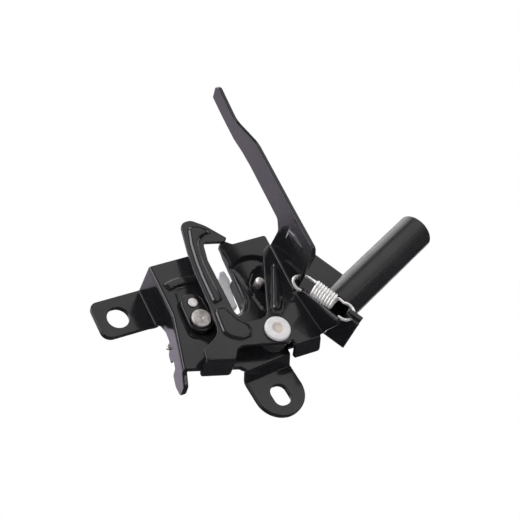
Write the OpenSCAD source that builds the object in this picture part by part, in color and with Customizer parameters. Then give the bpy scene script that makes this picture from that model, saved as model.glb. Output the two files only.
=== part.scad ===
// Bonnet latch: a folded sheet-steel base with a striker slot, a rotary claw
// with its pawl, and a sprung safety hook with a long hand lever.
// Units are millimetres. X is to the right seen from the front, Y goes to the
// back, Z is up along the striker slot. The origin is the centre of the ear
// hole on the rear face of the ear.

/* [Base plate] */
// Sheet thickness of the base plate
sheet_t = 2.5; // [1.5:0.1:4]
// Distance from the ear's rear face to the front face of the main panel
base_depth = 22; // [18:0.5:30]
// Height of the top edge above the hook pivot
top_z = 48.5; // [44:0.5:60]
// Distance from the hook pivot to the outer face of the left flange
flange_x = 37; // [36:0.5:45]
// Outer radius of the sheet bends of the base plate
bend_r = 4; // [3:0.5:6]
// Slope of the lower part of the left flange, in degrees
flare_a = 15; // [0:1:25]

/* [Ear and tab] */
// Sideways distance from the ear hole to the hook pivot
pivot_dx = 51; // [46:0.5:54]
// Drop from the ear hole to the hook pivot
pivot_dz = 38.5; // [36:0.5:41]
// Diameter of the ear hole
ear_hole_d = 9.8; // [6:0.1:12]
// Depth of the bottom tab's joggle
tab_step = 6; // [3:0.5:12]
// Width of the bottom tab
tab_w = 22; // [16:0.5:30]
// Tilt of the bottom tab, in degrees
tab_a = 5.5; // [0:0.5:15]
// Width of the slot in the bottom tab
tab_slot_w = 7.6; // [6:0.1:11]
// Overall length of the slot in the bottom tab
tab_slot_l = 9.8; // [9:0.1:16]

/* [Striker slot] */
// Width of the striker slot
slot_w = 13; // [10:0.5:14]
// Distance from the hook pivot to the middle of the striker slot
slot_x = 9.5; // [8:0.5:12]
// Height of the slot's round end above the hook pivot
slot_end_z = 22.5; // [20:0.5:30]
// Depth of the guide wall behind the panel
slot_wall_d = 6; // [3:0.5:6.5]

/* [Safety hook] */
// Sheet thickness of the safety hook
hook_t = 2.5; // [1.5:0.1:4]
// Gap between the base panel and the back of the safety hook
hook_gap = 5.5; // [4.5:0.1:9]
// Distance from the hook pivot to the inner face of the hand lever
lever_x = 16.5; // [14:0.5:17]
// Height of the pressed beads
bead_h = 0.8; // [0.4:0.1:1.5]
// Diameter of the hook pivot
hook_pin_d = 7; // [5:0.5:9]
// Diameter of the hook rivet's head
hook_head_d = 11.6; // [9:0.2:14]

/* [Claw and pawl] */
// Diameter of the claw's pivot
claw_pin_d = 8; // [6:0.5:10]
// Thickness of the claw
claw_t = 4; // [3:0.5:5]
// Radius of the claw's rim
claw_r = 25.4; // [22:0.1:25.5]
// Width of the claw's mouth
mouth_w = 10; // [8:0.5:11]
// Thickness of the pawl
pawl_t = 3; // [2:0.5:4]
// Diameter of the pawl's pivot
pawl_pin_d = 3.4; // [2.5:0.1:4]
// Radial running clearance of every pivot
run_fit = 0.05; // [0.02:0.01:0.09]

/* [Cable tube] */
// Outer diameter of the cable tube
tube_d = 16.5; // [12:0.5:20]
// Wall of the cable tube
tube_wall = 1.5; // [1:0.1:3]
// Length of the cable tube
tube_l = 60.5; // [35:0.5:80]
// Angle of the cable tube above the X axis, in degrees
tube_a = 24; // [15:1:35]

/* [Springs] */
// Wire of the hook spring
spring_wire = 1.2; // [0.8:0.1:1.4]
// Outer diameter of the hook spring
spring_d = 7.6; // [6:0.2:8]
// Number of coils of the hook spring
spring_turns = 8; // [5:1:8]
// Wire of the claw's torsion spring
torsion_wire = 1.6; // [1:0.1:1.8]

/* [Hidden] */

$fn = 48;
yf = -base_depth;              // front face of the main panel
yr = yf + sheet_t;             // rear face of the main panel
hr = yf - hook_gap;            // rear face of the safety hook
hf = hr - hook_t;              // front face of the safety hook
claw_p = [-27, 17];            // claw pivot, from the hook pivot
loc_p = [-27, 25.2];           // locating rivet
pawl_p = [6.7, 26.7];          // pawl pivot
claw_y0 = yr + 7;              // front face of the claw
claw_y1 = claw_y0 + claw_t;    // rear face of the claw
pawl_y0 = yr + 2.1;            // front face of the pawl
pawl_y1 = pawl_y0 + pawl_t;    // rear face of the pawl
wing_a = 60;                   // slope of the wing's fold line, in degrees
wing_o = 18;                   // distance of the fold line from the hook pivot
kink_z = 24;                   // height where the left flange starts to flare

// ---- helpers -------------------------------------------------------------
function unit(v) = v / norm(v);
// The point r from c in the direction a.
function polar(c, r, a) = c + r * [cos(a), sin(a)];
// The point o across and w down the wing's fold line, from the hook pivot.
function wing_pt(o, w, r = 0) = [o * sin(wing_a) + w * cos(wing_a),
    o * cos(wing_a) - w * sin(wing_a), r];
// A smooth curve through the points p, with n steps between two of them.
function curve(p, n = 4) = let (m = len(p)) [for (i = [0:m - 2]) each [for (k = [0:n - 1])
    let (t = k / n, a = p[max(i - 1, 0)], b = p[i], c = p[i + 1], d = p[min(i + 2, m - 1)])
    0.5 * (2 * b + (c - a) * t + (2 * a - 5 * b + 4 * c - d) * t * t
        + (3 * b - a - 3 * c + d) * t * t * t)], p[m - 1]];
// Points of a polygon whose corners [x, y, r] are rounded to radius r.
function corner(p, q, s) =
    let (a = [p[0], p[1]], b = [q[0], q[1]], c = [s[0], s[1]],
         u = unit(a - b), v = unit(c - b),
         h = acos(max(-1, min(1, u * v))) / 2)
    q[2] < 0.05 || h > 89 ? [b] :
    let (d = min(q[2] / tan(h), 0.49 * norm(a - b), 0.49 * norm(c - b)),
         r = d * tan(h), m = b + unit(u + v) * d / cos(h),
         e = b + u * d - m, f = b + v * d - m,
         a0 = atan2(e[1], e[0]), a1 = atan2(f[1], f[0]),
         w = a1 - a0, sw = w > 180 ? w - 360 : w < -180 ? w + 360 : w,
         n = max(2, ceil(abs(sw) / 15)))
    [for (i = [0:n]) m + r * [cos(a0 + sw * i / n), sin(a0 + sw * i / n)]];
function rounded(p) = let (n = len(p))
    [for (i = [0:n - 1]) each corner(p[(i + n - 1) % n], p[i], p[(i + 1) % n])];

// Everything below is drawn from the hook pivot.
module at_pivot() translate([pivot_dx, 0, -pivot_dz]) children();
// A plate parallel to XZ between y0 and y1; the child is drawn in X and Z.
module plate(y0, y1) translate([0, y1, 0]) rotate([90, 0, 0])
    linear_extrude(y1 - y0) children();
// A plate parallel to YZ between x0 and x1; the child is drawn in Y and Z.
module side(x0, x1) translate([x0, 0, 0]) rotate([90, 0, 90])
    linear_extrude(x1 - x0) children();
// A round bar along Y.
module pin(c, r, y0, y1) translate([c[0], y1, c[1]]) rotate([90, 0, 0])
    cylinder(r = r, h = y1 - y0);
// Quarter of a bent sheet along Z from 0 to l, curving about the Z axis.
module bend(l, r, t) linear_extrude(l) intersection() {
    difference() { circle(r); circle(r - t); }
    square(r + 1);
}
// A round wire along a list of points.
module wire(path, r, n = 10) {
    m = len(path);
    tang = [for (i = [0:m - 1]) unit(path[min(i + 1, m - 1)] - path[max(i - 1, 0)])];
    // carries a side vector along the path so that the rings do not twist
    function walk(i, v) = i >= m ? [] :
        let (w = unit(v - (v * tang[i]) * tang[i])) concat([w], walk(i + 1, w));
    sv = walk(0, abs(tang[0][2]) < 0.8 ? [0, 0, 1] : [1, 0, 0]);
    pts = [for (i = [0:m - 1]) each [for (k = [0:n - 1])
        path[i] + r * (cos(360 * k / n) * sv[i] + sin(360 * k / n) * cross(tang[i], sv[i]))]];
    quads = [for (i = [0:m - 2]) each [for (k = [0:n - 1])
        [(i + 1) * n + k, (i + 1) * n + (k + 1) % n, i * n + (k + 1) % n, i * n + k]]];
    ends = [[for (k = [0:n - 1]) k], [for (k = [0:n - 1]) (m - 1) * n + n - 1 - k]];
    polyhedron(pts, concat(quads, ends), convexity = 8);
}

// ---- base ----------------------------------------------------------------
module panel_shape() difference() {
    polygon(rounded([
        [-flange_x + bend_r - 0.4, top_z, 0], [-slot_x - slot_w / 2, top_z, 2],
        [-slot_x - slot_w / 2, slot_end_z, 0], [-slot_x + slot_w / 2, slot_end_z, 0],
        [-slot_x + slot_w / 2, top_z, 4], [21, top_z, 1.5], [21, 38, 2], [36, 38, 3],
        wing_pt(50.2, 20, 2), wing_pt(37, 20.3, 2), wing_pt(33.5, 22.5, 2),
        wing_pt(wing_o + 1, 26, 0), wing_pt(wing_o + 1, 9.7, 0),
        [17, -2, 1], [14.5, -6, 2], [5, -6, 1.5], [4.6, -8.4, 0], [-17.4, -10, 0], [-18, -9, 0],
        [-flange_x + bend_r - 0.4 - (kink_z + 3.2) * tan(flare_a), -3.2, 0],
        [-flange_x + bend_r - 0.4, kink_z, 0]]));
    translate([-slot_x, slot_end_z]) circle(slot_w / 2);
    translate(claw_p) circle(claw_pin_d / 2);
    translate(loc_p) circle(1.6);
    translate(pawl_p) circle(pawl_pin_d / 2);
    circle(hook_pin_d / 2);
}
// Section of the left fold: a tongue inside the panel, the bend and the flange
// back to y1. i is the inset of the tongue.
function fold(i, y1) = concat(
    [[bend_r + 0.3, yf + i]],
    [for (a = [0:10:90]) [bend_r - bend_r * sin(a), yf + i + bend_r - bend_r * cos(a)]],
    y1, [for (a = [90:-10:0]) [bend_r - (bend_r - sheet_t) * sin(a),
        yf + i + bend_r - (bend_r - sheet_t) * cos(a)]],
    [[bend_r + 0.3, yr + i]]);
// upper part of the left fold, which carries the ear
module upper_fold() difference() {
    translate([-flange_x, 0, kink_z - 3]) linear_extrude(top_z - kink_z + 3)
        polygon(fold(0.05, [[0, -sheet_t], [-24, -sheet_t], [-24, 0], [sheet_t, 0]]));
    side(-flange_x - 30, -flange_x + sheet_t + 1) polygon(rounded([[5, 29.9, 0], [0.5, 29.9, 0],
        [-6, 27, 3], [-8.5, 20, 0], [5, 20, 0]]));
    plate(-10, 10) difference() {
        translate([-63, 20]) square([63 - flange_x - 0.5, 40]);
        polygon(rounded([[-30, top_z + 2, 0], [-30, top_z, 0], [-61, top_z, 3.5], [-61, 30, 4.5],
            [-30, 30, 0]]));
    }
    pin([-pivot_dx, pivot_dz], ear_hole_d / 2, -10, 10);
}
// lower part of the left fold, flared outwards, with a spring notch and a round tail
module lower_fold() translate([-flange_x + bend_r, 0, kink_z]) rotate([0, flare_a, 0])
    translate([-bend_r, 0, 0]) intersection() {
        translate([0, 0, -40]) linear_extrude(40.6)
            polygon(fold(0.1, [[0, 0], [sheet_t, 0]]));
        side(-5, bend_r + 5) polygon(rounded([
            [-30, 2, 0], [-7.6, 2, 0], [-8.7, -2.5, 2], [-11, -8.5, 3],
            [-6.5, -12, 2], [-7.2, -16.5, 1], [-11.5, -17.5, 1], [-11.3, -21, 1],
            [-7.2, -22, 1.5], [-7.5, -28, 4], [-11.5, -34.8, 3], [-17, -34, 2],
            [yf + bend_r, -30, 0], [yf + 1.5, -28, 0], [-30, -28, 0]]));
    }
module bottom_tab() translate([-6.5, 0, -9.5]) rotate([0, -tab_a, 0]) intersection() {
    // the joggle and the flat below it
    side(-tab_w / 2 - 1, tab_w / 2 + 1) polygon(rounded([
        [yf + 0.05, 3, 0], [yf + 0.05, -0.5, 3], [yf + tab_step, -3.5, 1.5], [yf + tab_step, -25, 0],
        [yr + tab_step, -25, 0], [yr + tab_step, -2.2, 3], [yr - 0.05, 0.8, 1.5], [yr - 0.05, 3, 0]]));
    plate(yf - 2, yr + tab_step + 2) difference() {
        union() {
            translate([-tab_w / 2, -12.8]) square([tab_w, 16.8]);
            translate([0, -12.8]) circle(tab_w / 2, $fn = 72);
        }
        translate([0, -13.5]) {
            translate([-tab_slot_w / 2, -(tab_slot_l - tab_slot_w) / 2])
                square([tab_slot_w, tab_slot_l - tab_slot_w]);
            for (s = [-1, 1]) translate([0, s * (tab_slot_l - tab_slot_w) / 2])
                circle(d = tab_slot_w);
        }
    }
}
module slot_wall() plate(yr - 0.5, yr + slot_wall_d) {
    translate([-slot_x + slot_w / 2 + 0.05, slot_end_z - 1]) square([2, 12]);
    translate([-slot_x, slot_end_z]) difference() {
        circle(slot_w / 2 + 2);
        circle(slot_w / 2 + 0.05);
        translate([-20, -0.5]) square([40, 20]);
    }
}
// Flange bent forward along the wing's fold line; its end is slotted, which
// leaves a finger that holds the spring's loop.
module spring_flange() rotate([0, wing_a - 90, 0])
    side(wing_o, wing_o + sheet_t) polygon(rounded([
        [yr - 0.7, -26.4, 0], [-40.7, -26.4, 0.5], [-40.7, -21, 1], [-43.1, -21, 1],
        [-43.1, -26.4, 0.5], [-45.5, -26.4, 0.6], [-45.5, -19.2, 1], [-38, -19.2, 3],
        [-30, -12, 3], [-24, -9.5, 2], [yr - 0.7, -9.5, 0]]));
module base_plate() color([0.07, 0.07, 0.08]) at_pivot() {
    plate(yf, yr) panel_shape();
    upper_fold();
    lower_fold();
    bottom_tab();
    slot_wall();
    spring_flange();
}
module cable_tube() color([0.09, 0.09, 0.1]) at_pivot()
    translate([30.23, yf - tube_d / 2 + 0.3, 1.87]) rotate([0, 90 - tube_a, 0]) difference() {
        cylinder(d = tube_d, h = tube_l, $fn = 72);
        translate([0, 0, -1]) cylinder(d = tube_d - 2 * tube_wall, h = tube_l + 2, $fn = 72);
    }
module pivot_plate() color([0.06, 0.06, 0.07]) at_pivot() plate(yf - sheet_t, yf) difference() {
    polygon(rounded([[claw_p[0] - 5.8, claw_p[1] - 5.8, 5.7], [claw_p[0] + 5.8, claw_p[1] - 5.8, 5.7],
        [loc_p[0] + 4.9, loc_p[1] + 4.9, 4.85], [loc_p[0] - 4.9, loc_p[1] + 4.9, 4.85]]));
    translate(claw_p) circle(claw_pin_d / 2);
    translate(loc_p) circle(1.6);
}
module locating_rivet() color([0.75, 0.75, 0.74]) at_pivot() {
    pin(loc_p, 1.6, yf - sheet_t - 0.9, yr + 0.8);
    pin(loc_p, 2.1, yf - sheet_t - 0.9, yf - sheet_t);
    pin(loc_p, 2.2, yr, yr + 0.8);
}
module claw_rivet() color([0.72, 0.71, 0.69]) at_pivot() {
    pin(claw_p, claw_pin_d / 2, yf - sheet_t - 1.5, -1);
    pin(claw_p, 4.3, yf - sheet_t - 1.5, yf - sheet_t);
    pin(claw_p, 7.5, -2.6, -1);
}
module claw_bush() color([0.6, 0.6, 0.6]) at_pivot() difference() {
    pin(claw_p, 5.6, yr, claw_y0 - 0.4);
    pin(claw_p, claw_pin_d / 2, yr - 1, claw_y0);
}
module hook_rivet() color([0.9, 0.9, 0.88]) at_pivot() difference() {
    union() {
        pin([0, 0], hook_pin_d / 2, hf - 1.9, yr + 1.6);
        pin([0, 0], hook_head_d / 2, hf - 1.9, hf - 0.3);
        pin([0, 0], 6, yr, yr + 1.6);
    }
    pin([0, 0], 2.5, hf - 3, hf - 1.4);
}
module hook_bush() color([0.2, 0.2, 0.2]) at_pivot() difference() {
    pin([0, 0], 6.5, hr + 0.4, yf);
    pin([0, 0], hook_pin_d / 2, hr, yf + 1);
}
module pawl_rivet() color([0.75, 0.75, 0.74]) at_pivot() {
    pin(pawl_p, pawl_pin_d / 2, yf - 1.2, pawl_y1 + 1.3);
    pin(pawl_p, 2.1, yf - 1.2, yf);
    pin(pawl_p, 2.6, yr, pawl_y0 - 0.4);
    pin(pawl_p, 3, pawl_y1 + 0.4, pawl_y1 + 1.3);
}

// ---- moving pieces -------------------------------------------------------
module hook_shape() difference() {
    polygon(rounded([
        [-19.6, 61, 3.5], [-12.8, 60.4, 5], [-0.4, 48, 0.9], [-2.6, 46.5, 0.6], [-12.3, 48.6, 1.2],
        [-14, 40, 6], [-14, 14, 5], [-12, 8, 4], [-1, 7, 4], [9.9, 33, 5], [12.4, 37.6, 3],
        [lever_x - 1.5, 39.2, 0], [lever_x - 1.5, -8, 0], [5.2, -8, 0], [4.6, -6, 0.8],
        [2.6, -7, 0.6], [-19.5, -1.7, 4], [-22.6, -7.6, 0], [-35.4, -4.2, 0], [-34.9, 0.8, 2.5],
        [-25, 6, 7], [-23.3, 16, 6], [-22.6, 38, 12], [-21.6, 48, 8]]));
    circle(hook_pin_d / 2 + run_fit);
}
// A bend to the back and a short flange under it, running along +X.
module foot(l, d) {
    translate([0, hr + 1, 0]) rotate([0, 90, 0]) rotate([0, 0, -90]) bend(l, hook_t + 1, hook_t);
    translate([0, hr + 1, -hook_t - 1]) cube([l, d, hook_t]);
    translate([0, hf, -0.02]) cube([l, hook_t, 0.6]);
}
module safety_hook() color([0.08, 0.075, 0.08]) at_pivot() {
    plate(hf, hr) hook_shape();
    // pressed beads
    plate(hf - bead_h, hf + 0.3) {
        polygon(rounded([[-18.6, 57.5, 1.5], [-13, 57.2, 1.5], [-14.4, 51.5, 1.5], [-16.6, 46, 3],
            [-17, 20, 1], [-20.4, 20, 1], [-20.6, 46, 3]]));
        polygon(rounded([[-20, 14, 2], [-15.2, 14.4, 2], [-15, 8, 3], [-7, 4.6, 2],
            [-8, 0.4, 2], [-21, 3, 3]]));
        polygon(rounded([[12.4, 31, 0.5], [13.6, 31, 0.5], [8.6, 9.2, 1.4], [5.6, 10, 1.4]]));
    }
    // lever and gusset, both bent forward along one line
    for (z = [[15.2, 39.2], [-8, 13.2]])
        translate([lever_x - 1.5, hf - 1.5, z[0]]) bend(z[1] - z[0], hook_t + 1.5, hook_t);
    side(lever_x, lever_x + hook_t) polygon(rounded([
        [hf - 1.5, 39.2, 0], [-41.5, 39.2, 3], [-45.4, 42.5, 2.5], [-45.2, 55, 0],
        [-46.4, 70, 8], [-46.2, 78, 8], [-45, 86, 10], [-45.4, 98, 0], [-46.2, 108.6, 1],
        [-52.4, 109.6, 1.5], [-54.4, 107.4, 1.5], [-52.9, 90.5, 14], [-59.7, 73, 14], [-59.7, 38, 0],
        [-60, 17.6, 2.5], [-56.5, 15.5, 2], [hf - 1.5, 15.2, 0]]));
    side(lever_x, lever_x + hook_t) polygon(rounded([[hf - 1.5, 13.2, 0], [-34.6, 13.2, 1],
        [-44.2, -8, 1], [-44.2, -9.8, 0.6], [hf - 1.5, -8, 0]]));
    // feet bent to the back
    translate([5.2, 0, -8]) foot(13, 4);
    translate([-35.4, 0, -4.2]) rotate([0, 14.9, 0]) foot(13.2, 4);
}
module claw_shape() difference() {
    union() {
        translate(claw_p) circle(8);
        polygon(concat(
            [polar(claw_p, 7, -80)],
            [for (a = [-36:4:4]) polar(claw_p, claw_r, a)],
            [polar(claw_p, claw_r, 5), polar(claw_p, claw_r - 3, 5),
             polar(claw_p, claw_r - 3, 14.5), polar(claw_p, claw_r, 14.5)],
            rounded([[-2.2, 27, 0], [0.4, 36.5, 4], [0.2, 42.2, 1.4], [-2.8, 42.2, 1.4],
                [-5, 40, 0], [-14.6, 40.6, 1], [-17, 42.4, 2]]),
            [for (a = [72:6:102]) polar(claw_p, 26 - 0.12 * (a - 72), a)],
            [polar(claw_p, 7, 150)]));
    }
    // mouth for the striker
    translate([-15, 30.5]) {
        circle(d = mouth_w);
        rotate(55) translate([0, -mouth_w / 2]) square([30, mouth_w]);
    }
    translate(claw_p) circle(claw_pin_d / 2 + run_fit);
}
module claw() color([0.8, 0.8, 0.8]) at_pivot() plate(claw_y0, claw_y1) claw_shape();
module pawl() color([0.3, 0.3, 0.3]) at_pivot() {
    plate(pawl_y0, pawl_y1) difference() {
        union() {
            translate(pawl_p) circle(5.6);
            polygon(rounded([[1.2, 28, 0], [0.6, 18, 4], [-2.6, 9, 1], [-2.6, 4, 0.8],
                [1, 4, 0.8], [8, 17, 6], [12.2, 27, 0]]));
        }
        translate(pawl_p) circle(pawl_pin_d / 2 + run_fit);
    }
    // tooth that rides on the claw's rim
    plate(pawl_y1 - 0.5, claw_y1) polygon(rounded([[-2.6, 8, 0.6], [-2.6, 4, 0.8], [0.4, 4, 0.8],
        [0.4, 8, 0.6]]));
}

// ---- springs -------------------------------------------------------------
// The hook spring runs from the lever's lower edge to the finger of the flange.
sa = [17.8, -43.2, 7.8];      // coil axis at the lever's end
sb = [23.3, -42.7, -1.2];     // coil axis at the flange's end
sdir = unit(sb - sa);
so = unit([sin(wing_a), 0, cos(wing_a)] - ([sin(wing_a), 0, cos(wing_a)] * sdir) * sdir);
sq = cross(sdir, so);
sr = (spring_d - spring_wire) / 2;
function coil_pt(t) = sa + (sb - sa) * t / spring_turns
    + sr * (cos(360 * t) * so + sin(360 * t) * sq);
// open hook that goes under the lever and back through the relief below it
hook_a = curve([[20.8, -33, 14.3], [18.5, -33.1, 14.1], [15.5, -33.8, 14], [13, -36, 13.9],
    [12.1, -38.5, 14.2], [12.6, -41, 14.5], [15, -42.2, 14.5], [17.5, -42.4, 14.2],
    [19.3, -42.1, 12.9], coil_pt(0) - sq - 1.5 * sdir]);
turn_a = [for (p = [90:-18:18]) coil_pt(0) - sin(p) * sq - (1 - cos(p)) * sdir];
turn_b = [for (p = [18:18:90]) coil_pt(spring_turns) + sin(p) * sq + (1 - cos(p)) * sdir];
// open loop through the slot of the flange
loop_c = [wing_pt(19.25, 18.8)[0], -41.9, wing_pt(19.25, 18.8)[1]];
loop_b = [for (a = [-25:15:200]) loop_c + 3.2 * (cos(a) * so + sin(a) * sdir)
    + max(0, (90 - a) / 115) * sq];
module hook_spring() color([0.85, 0.85, 0.84]) at_pivot()
    wire(concat(hook_a, turn_a, [for (i = [0:spring_turns * 20]) coil_pt(i / 20)], turn_b, loop_b),
         spring_wire / 2);
// The torsion spring turns the claw open; one leg rests in the flange's notch.
ty0 = claw_y1 + 1.1;
module claw_spring() color([0.7, 0.7, 0.7]) at_pivot() wire(concat(
    curve([[-11.4, ty0 - 3.4, 2.7], [-11.4, ty0 - 2, 2.7], [-11.9, ty0 - 0.4, 3.4],
        [-13.4, ty0, 5.2], [-17, ty0, 6.9], [-24, ty0, 9.4]], 3),
    [for (i = [0:45]) let (a = -110 - 680 * i / 45) [claw_p[0] + 6.1 * cos(a),
        ty0 + 3.4 * i / 45, claw_p[1] + 6.1 * sin(a)]],
    curve([[-28, ty0 + 3.4, 10.1], [-31.5, ty0 + 3.3, 10.4], [-34.5, ty0 + 2.6, 12.2], [-36.6, ty0 + 0.8, 14.8],
        [-38.4, ty0 - 1.4, 16.6], [-40.3, ty0 - 2.2, 16.7], [-41.2, ty0 - 2.6, 14.4]], 3)),
    torsion_wire / 2);

base_plate();
cable_tube();
pivot_plate();
locating_rivet();
claw_rivet();
claw_bush();
hook_rivet();
hook_bush();
pawl_rivet();
safety_hook();
claw();
pawl();
hook_spring();
claw_spring();
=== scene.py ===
import math

import bpy
import numpy as np
from mathutils import Matrix, Vector
from mathutils.geometry import delaunay_2d_cdt


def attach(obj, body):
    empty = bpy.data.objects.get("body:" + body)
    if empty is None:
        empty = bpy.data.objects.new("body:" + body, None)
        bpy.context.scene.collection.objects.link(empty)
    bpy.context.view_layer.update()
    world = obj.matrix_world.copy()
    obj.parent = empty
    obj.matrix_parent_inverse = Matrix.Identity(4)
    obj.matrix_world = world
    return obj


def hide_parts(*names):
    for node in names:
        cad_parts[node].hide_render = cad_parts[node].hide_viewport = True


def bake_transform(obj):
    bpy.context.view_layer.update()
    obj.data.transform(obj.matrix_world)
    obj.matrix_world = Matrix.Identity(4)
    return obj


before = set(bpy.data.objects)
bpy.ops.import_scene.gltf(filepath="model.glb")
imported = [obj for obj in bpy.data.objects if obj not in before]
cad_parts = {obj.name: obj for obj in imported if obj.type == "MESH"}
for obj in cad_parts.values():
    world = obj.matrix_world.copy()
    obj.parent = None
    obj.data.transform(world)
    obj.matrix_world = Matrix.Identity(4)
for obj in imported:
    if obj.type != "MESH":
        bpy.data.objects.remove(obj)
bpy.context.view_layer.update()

PIV = np.array([51.0, 0.0, -38.5])
YF, T = -22.0, 2.5            # front of the base panel, sheet thickness
HF = -30.0                    # front of the safety hook
TAN15 = math.tan(math.radians(15))


# ---------------------------------------------------------------- geometry
def rounded(pts, deg=9.0):
    """Polygon corners (x, y[, r]) rounded to radius r."""
    out, n = [], len(pts)
    for i in range(n):
        p, q, s = pts[i - 1], pts[i], pts[(i + 1) % n]
        b = np.array(q[:2], float)
        r = q[2] if len(q) > 2 else 0.0
        u, v = np.array(p[:2], float) - b, np.array(s[:2], float) - b
        lu, lv = np.linalg.norm(u), np.linalg.norm(v)
        u, v = u / lu, v / lv
        h = math.acos(max(-1.0, min(1.0, float(u @ v)))) / 2
        if r < 0.05 or h > math.radians(89):
            out.append(b)
            continue
        d = min(r / math.tan(h), 0.49 * lu, 0.49 * lv)
        r = d * math.tan(h)
        m = b + (u + v) / np.linalg.norm(u + v) * d / math.cos(h)
        e, f = b + u * d - m, b + v * d - m
        a0, a1 = math.atan2(e[1], e[0]), math.atan2(f[1], f[0])
        w = (a1 - a0 + math.pi) % (2 * math.pi) - math.pi
        k = max(2, int(math.ceil(abs(math.degrees(w)) / deg)))
        out += [m + r * np.array([math.cos(a0 + w * j / k), math.sin(a0 + w * j / k)]) for j in range(k + 1)]
    return np.array(out)


def area(loop):
    x, y = loop[:, 0], loop[:, 1]
    return 0.5 * float(np.sum(x * np.roll(y, -1) - np.roll(x, -1) * y))


def resample(loop, step):
    out = []
    n = len(loop)
    for i in range(n):
        a, b = loop[i], loop[(i + 1) % n]
        l = np.linalg.norm(b - a)
        if l < 1e-4:
            continue
        k = max(1, int(math.ceil(l / step)))
        out += [a + (b - a) * j / k for j in range(k)]
    out = np.array(out)
    keep = np.linalg.norm(out - np.roll(out, 1, 0), axis=1) > 0.03
    return out[keep]


def circle(c, r, n=64):
    a = np.arange(n) * 2 * math.pi / n
    return np.stack([c[0] + r * np.cos(a), c[1] + r * np.sin(a)], 1)


def inset(loop, d):
    """Moves each vertex by d to the left of the loop's direction."""
    e = np.roll(loop, -1, 0) - loop
    e /= np.linalg.norm(e, axis=1)[:, None]
    n2 = np.stack([-e[:, 1], e[:, 0]], 1)
    n1 = np.roll(n2, 1, 0)
    k = 1 + np.sum(n1 * n2, 1)
    m = (n1 + n2) / np.maximum(k, 0.35)[:, None]
    return loop + m * d


def inside(pts, loops):
    """Even-odd test of points against a list of loops."""
    res = np.zeros(len(pts), bool)
    x, y = pts[:, 0][:, None], pts[:, 1][:, None]
    for lp in loops:
        x0, y0 = lp[:, 0][None], lp[:, 1][None]
        x1, y1 = np.roll(lp[:, 0], -1)[None], np.roll(lp[:, 1], -1)[None]
        c = (y0 > y) != (y1 > y)
        with np.errstate(divide="ignore", invalid="ignore"):
            xi = x0 + (y - y0) * (x1 - x0) / (y1 - y0)
        res ^= (np.sum(c & (x < xi), 1) % 2).astype(bool)
    return res


def seg_dist(pts, loop, closed=True):
    """Distance of points to a polyline."""
    a = loop if closed else loop[:-1]
    b = np.roll(loop, -1, 0) if closed else loop[1:]
    d = b - a
    l2 = np.maximum(np.sum(d * d, 1), 1e-9)
    best = np.full(len(pts), 1e9)
    for i in range(len(a)):
        w = pts - a[i]
        t = np.clip((w @ d[i]) / l2[i], 0, 1)
        best = np.minimum(best, np.linalg.norm(w - t[:, None] * d[i], axis=1))
    return best


def smooth(x):
    x = np.clip(x, 0, 1)
    return x * x * (3 - 2 * x)


class Bead:
    """A pressed area: a plateau of height h whose wall is w wide."""

    def __init__(self, pts, h, w=1.3, fade=None):
        self.loop = resample(rounded(pts), 0.7)
        if area(self.loop) < 0:
            self.loop = self.loop[::-1]
        self.h, self.w, self.fade = h, w, fade

    def height(self, p):
        lo, hi = self.loop.min(0) - self.w, self.loop.max(0) + self.w
        res = np.zeros(len(p))
        near = np.all((p > lo) & (p < hi), 1)
        if near.any():
            q = p[near]
            sd = seg_dist(q, self.loop) * np.where(inside(q, [self.loop]), 1, -1)
            v = self.h * smooth(sd / self.w + 0.5)
            if self.fade is not None:
                v = v * self.fade(q)
            res[near] = v
        return res

    def feature(self):
        return np.concatenate([inset(self.loop, o * self.w) for o in (-0.5, -0.22, 0.0, 0.22, 0.5)])


class Crease:
    """A pressed line: a ridge (h > 0) or groove (h < 0) along a polyline, w wide."""

    def __init__(self, pts, h, w=1.6):
        p = np.array(pts, float)
        out = []
        for a, b in zip(p[:-1], p[1:]):
            k = max(1, int(np.linalg.norm(b - a) / 0.6))
            out += [a + (b - a) * j / k for j in range(k)]
        self.line = np.array(out + [p[-1]])
        self.h, self.w = h, w

    def height(self, p):
        lo, hi = self.line.min(0) - self.w, self.line.max(0) + self.w
        res = np.zeros(len(p))
        near = np.all((p > lo) & (p < hi), 1)
        if near.any():
            res[near] = self.h * smooth(1 - seg_dist(p[near], self.line, False) / (self.w / 2))
        return res

    def feature(self):
        d = np.gradient(self.line, axis=0)
        d /= np.linalg.norm(d, axis=1)[:, None]
        n = np.stack([-d[:, 1], d[:, 0]], 1)
        return np.concatenate([self.line + n * o * self.w for o in (-0.5, -0.25, 0, 0.25, 0.5)])


def new_object(name, verts, faces, smooth_shade=True):
    me = bpy.data.meshes.new(name)
    me.from_pydata([tuple(v) for v in (np.asarray(verts) + PIV) / 1000.0], [], faces)
    me.validate()
    me.update()
    if smooth_shade:
        me.polygons.foreach_set("use_smooth", [True] * len(me.polygons))
    ob = bpy.data.objects.new(name, me)
    bpy.context.scene.collection.objects.link(ob)
    return ob


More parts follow.
